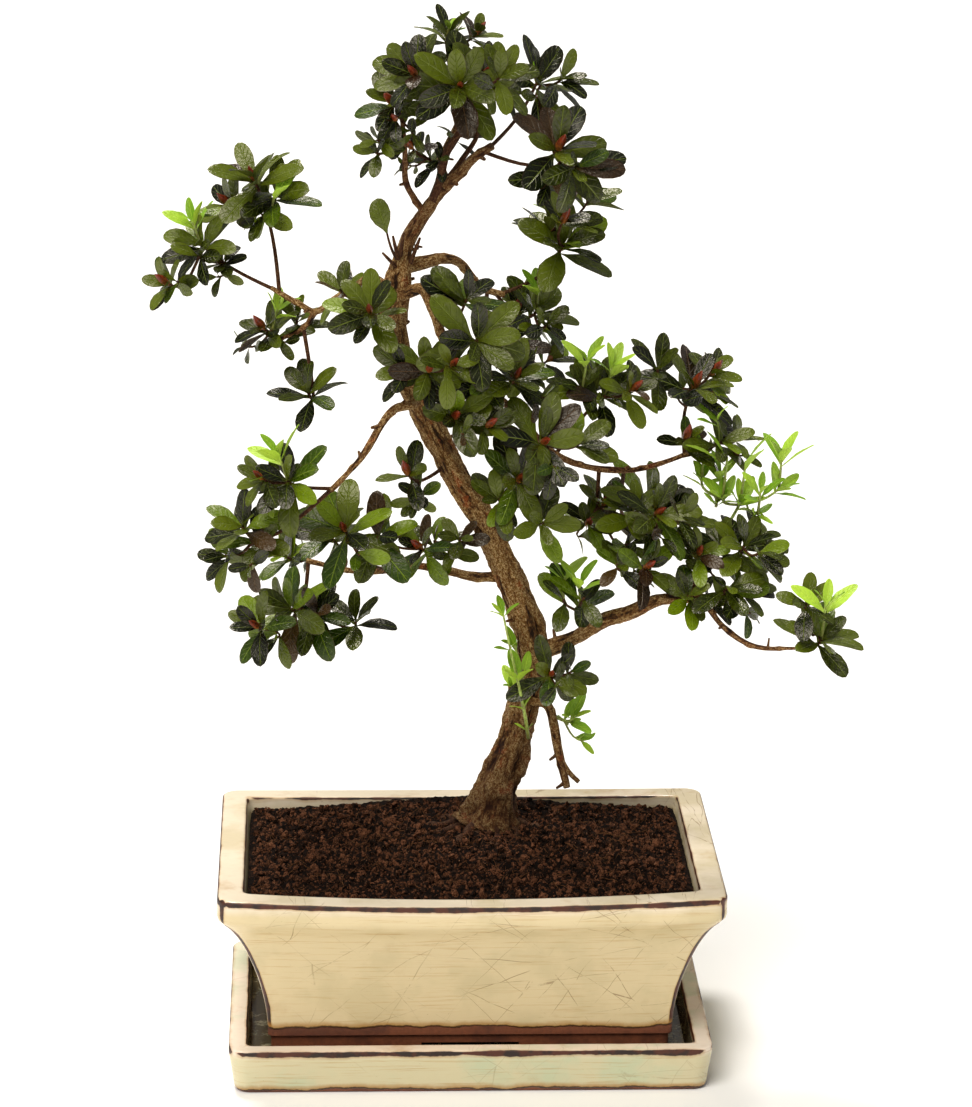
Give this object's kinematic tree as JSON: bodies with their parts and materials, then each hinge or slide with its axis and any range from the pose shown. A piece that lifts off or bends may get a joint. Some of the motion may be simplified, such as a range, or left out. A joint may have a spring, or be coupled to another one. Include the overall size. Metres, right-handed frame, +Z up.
{
  "type": "potted bonsai azalea",
  "caption": "Informal upright azalea bonsai with spreading boughs and leaf rosettes, in a rectangular glazed pot on a matching drip tray.",
  "frame": {"origin": "middle of the drip tray's underside", "axes": "+Z up, +X to the tree's right as seen from its front, +Y towards its back; the front is -Y"},
  "size_m": [0.3524, 0.1798, 0.5244],
  "materials": {
    "glaze": "cream crackle glaze with brown breaks along its edges, over bare red-brown clay at the foot",
    "soil": "moist dark brown peaty soil with fine roots, matt",
    "bark": "thin brown bark, fissured lengthwise, with paler flecks and red-brown patches",
    "foliage": "glossy dark green leaves with paler undersides, and matt lime-green young leaves"
  },
  "bodies": {
    "root": {"drip_tray": "glaze", "pot": "glaze", "soil": "soil", "trunk": "bark", "bough_crown_left": "bark", "bough_crown_middle": "bark", "bough_crown_right": "bark", "bough_right_arch": "bark", "bough_hook": "bark", "bough_right_middle": "bark", "bough_left_upper": "bark", "bough_left_fork": "bark", "bough_left_middle": "bark", "bough_left_lower": "bark", "bough_right_lower": "bark", "bough_right_riser": "bark", "bough_right_tip": "bark", "stub_pruned": "bark", "foliage_crown_top": "foliage", "foliage_crown_front": "foliage", "foliage_crown_right": "foliage", "foliage_crown_left": "foliage", "foliage_crown_inner": "foliage", "foliage_crown_right_end": "foliage", "foliage_right_shoulder": "foliage", "foliage_right_upper": "foliage", "foliage_right_upper_front": "foliage", "foliage_centre_front": "foliage", "foliage_centre": "foliage", "foliage_centre_low": "foliage", "foliage_centre_hanging": "foliage", "foliage_right_middle_front": "foliage", "foliage_right_middle": "foliage", "foliage_right_middle_top": "foliage", "foliage_right_middle_end": "foliage", "foliage_right_inner": "foliage", "foliage_right_crown": "foliage", "foliage_right_crown_end": "foliage", "foliage_right_young": "foliage", "foliage_right_low_inner": "foliage", "foliage_right_low": "foliage", "foliage_right_tip": "foliage", "foliage_trunk_right": "foliage", "foliage_trunk_low_right": "foliage", "foliage_basal_left": "foliage", "foliage_basal_right": "foliage", "foliage_lower_left_top": "foliage", "foliage_lower_left_outer": "foliage", "foliage_lower_left_front": "foliage", "foliage_lower_left_low": "foliage", "foliage_left_low_inner": "foliage", "foliage_trunk_left": "foliage", "foliage_left_hanging": "foliage", "foliage_left_inner": "foliage", "foliage_left_far": "foliage", "foliage_left_top": "foliage", "foliage_left_near": "foliage", "foliage_back_upper": "foliage", "foliage_back_right": "foliage", "foliage_back_left": "foliage"}
  },
  "joints": []
}
